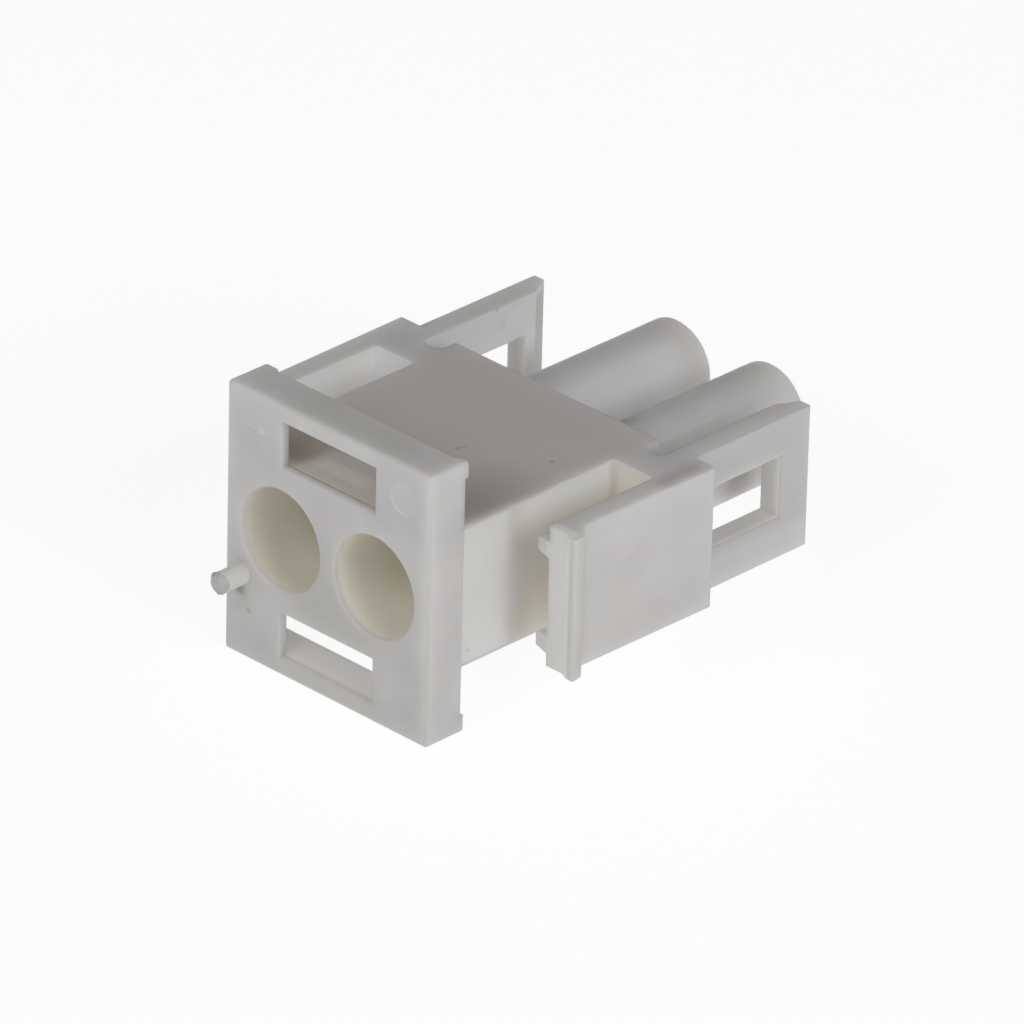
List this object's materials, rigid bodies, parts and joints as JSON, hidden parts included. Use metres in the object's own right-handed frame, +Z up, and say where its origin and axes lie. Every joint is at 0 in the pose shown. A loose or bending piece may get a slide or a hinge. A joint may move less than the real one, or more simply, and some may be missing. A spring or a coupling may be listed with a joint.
{
  "type": "panel-mount wire connector housing",
  "caption": "One-piece moulded housing for wire contacts, with a slotted flange, side wings that snap into a panel, locking ears and tubular silos.",
  "frame": {"origin": "on the flange's panel face, midway between the axes of the contact cavities", "axes": "+X across the contact cavities, +Y the way the housing is pushed into its mate, +Z up"},
  "size_m": [0.0228, 0.0289, 0.0146],
  "materials": {
    "natural_nylon": "satin, milky natural polyamide"
  },
  "bodies": {
    "root": {"housing": "natural_nylon"}
  },
  "joints": []
}
